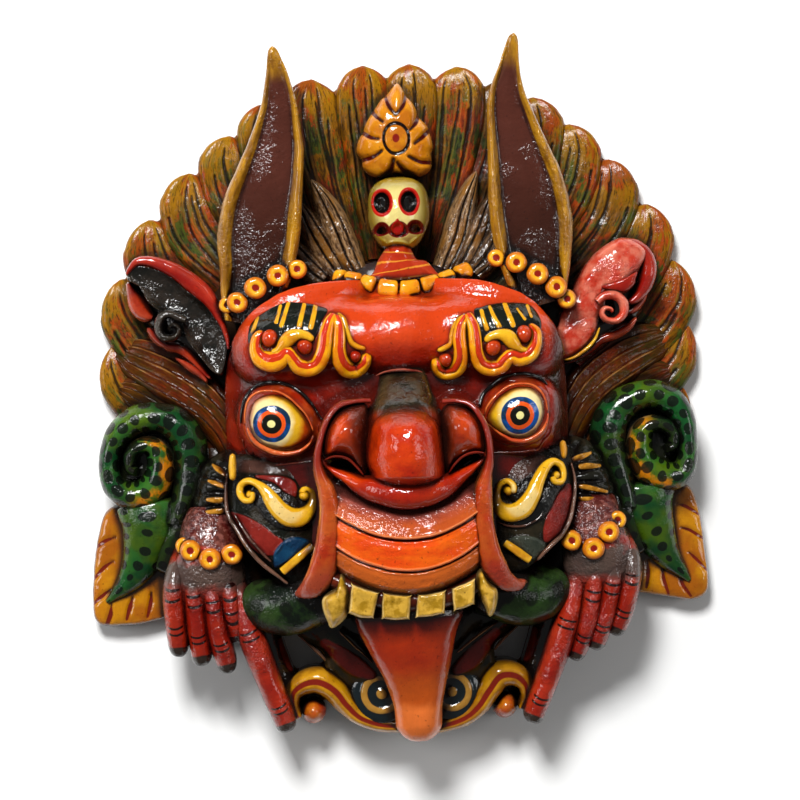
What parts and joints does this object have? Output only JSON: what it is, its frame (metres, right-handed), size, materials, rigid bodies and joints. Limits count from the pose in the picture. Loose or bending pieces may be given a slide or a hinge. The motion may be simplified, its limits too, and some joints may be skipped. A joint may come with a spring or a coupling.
{
  "type": "wooden mask",
  "caption": "Carved and painted wooden wall mask: horned, fanged face with feathers, hands and serpents, flat back with a scooped hollow.",
  "frame": {"origin": "under the middle of the outline, on the flat back that the mask lies on", "axes": "+Z is the way the face looks, +Y is towards the horn tips, +X is the viewer's right"},
  "size_m": [0.3123, 0.341, 0.1199],
  "materials": {
    "painted_wood": "hand-painted in many colours, dark antique glaze in the creases, gloss varnish"
  },
  "bodies": {
    "root": {"mask": "painted_wood"}
  },
  "joints": []
}
